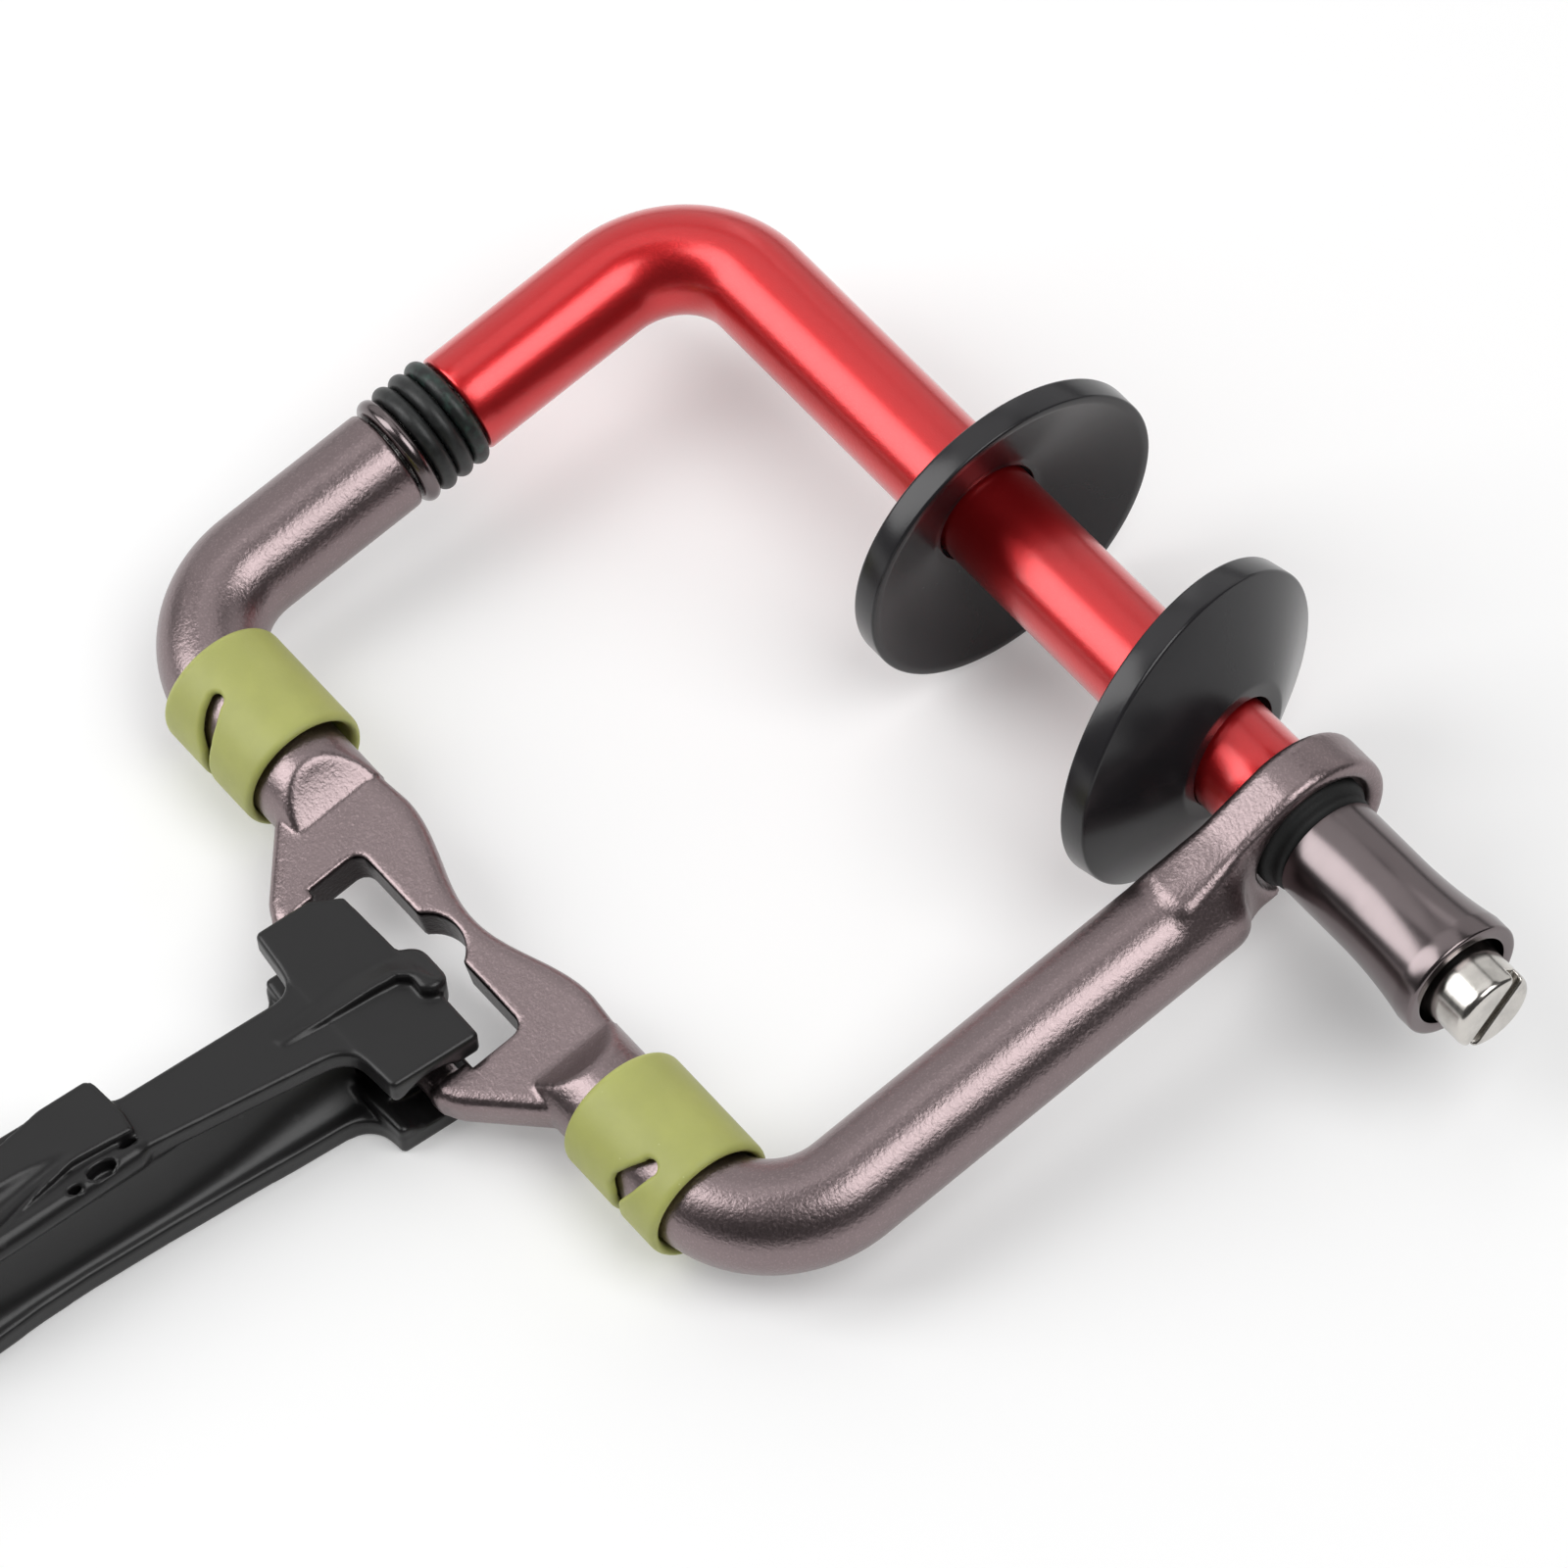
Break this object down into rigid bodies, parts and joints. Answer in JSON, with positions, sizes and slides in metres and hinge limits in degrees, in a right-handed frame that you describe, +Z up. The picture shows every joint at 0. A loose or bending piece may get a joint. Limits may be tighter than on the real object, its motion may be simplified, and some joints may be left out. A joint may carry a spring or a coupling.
{
  "type": "fishing line spool holder",
  "caption": "Hand-held line spool holder: a metal C frame closed by a red swing arm with two sliding cups that centre the spool, a spring lock knob and a clip-on plastic rod bracket.",
  "frame": {"origin": "centre of the bounding box's footprint, at the table it lies on", "axes": "+X along the spool arm towards the lock knob, +Y from the bracket towards the spool arm, +Z up from the table"},
  "size_m": [0.1405, 0.1984, 0.038],
  "materials": {
    "frame_metal": "textured gunmetal powder coat",
    "red_arm": "satin red anodised",
    "knob_metal": "smooth gunmetal anodised",
    "steel": "plain",
    "black_steel": "black oxide",
    "nickel": "bright",
    "black_rubber": "satin",
    "green_silicone": "soft satin silicone",
    "cup_plastic": "satin",
    "black_plastic": "satin",
    "gloss_plastic": "gloss"
  },
  "bodies": {
    "frame": {"main_frame": "frame_metal", "pivot_pin": "steel", "pivot_snap_ring": "steel", "collar_ring": "steel", "o_ring_1": "black_rubber", "o_ring_2": "black_rubber", "o_ring_3": "black_rubber"},
    "arm": {"swing_arm": "red_arm", "lock_stud": "black_steel", "cap_screw": "nickel", "spring_washer": "steel", "knob_spring": "steel"},
    "knob": {"lock_knob": "knob_metal", "knob_nose": "black_plastic"},
    "left_bush": {"cup_left_bush": "black_plastic"},
    "left_cup": {"cup_left": "cup_plastic"},
    "right_bush": {"cup_right_bush": "black_plastic"},
    "right_cup": {"cup_right": "cup_plastic"},
    "left_keeper": {"keeper_left": "green_silicone"},
    "right_keeper": {"keeper_right": "green_silicone"},
    "bracket": {"bracket_arm": "gloss_plastic"}
  },
  "joints": [
    {"name": "arm_swing", "type": "hinge", "parent": "frame", "child": "arm", "pos_m": [-0.0636, 0.04369, 0.01381], "axis": [0, 0.9898, 0.1424], "range_deg": [0, 180]},
    {"name": "knob_pull", "type": "slide", "parent": "arm", "child": "knob", "axis": [1, 0, 0], "range_m": [0, 0.0055], "stiffness_N_per_m": 400, "springref_m": -0.003, "deforming": ["knob_spring"]},
    {"name": "cup_left_slide", "type": "slide", "parent": "arm", "child": "left_bush", "axis": [1, 0, 0], "range_m": [-0.035, 0.01]},
    {"name": "cup_left_spin", "type": "hinge", "parent": "left_bush", "child": "left_cup", "pos_m": [-0.0148, 0.08032, 0.01908], "axis": [1, 0, 0], "continuous": true},
    {"name": "cup_right_slide", "type": "slide", "parent": "arm", "child": "right_bush", "axis": [1, 0, 0], "range_m": [-0.012, 0.004]},
    {"name": "cup_right_spin", "type": "hinge", "parent": "right_bush", "child": "right_cup", "pos_m": [0.0266, 0.08032, 0.01908], "axis": [0.9781, 0.2058, 0.0296], "continuous": true},
    {"name": "keeper_left_turn", "type": "hinge", "parent": "frame", "child": "left_keeper", "pos_m": [-0.0471, 0.00846, 0.00874], "axis": [1, 0, 0], "continuous": true},
    {"name": "keeper_right_turn", "type": "hinge", "parent": "frame", "child": "right_keeper", "pos_m": [0.0229, 0.00846, 0.00874], "axis": [1, 0, 0], "continuous": true},
    {"name": "bracket_swing", "type": "hinge", "parent": "frame", "child": "bracket", "pos_m": [-0.0121, -0.00332, 0.00705], "axis": [1, 0, 0], "range_deg": [-90, 90]}
  ]
}
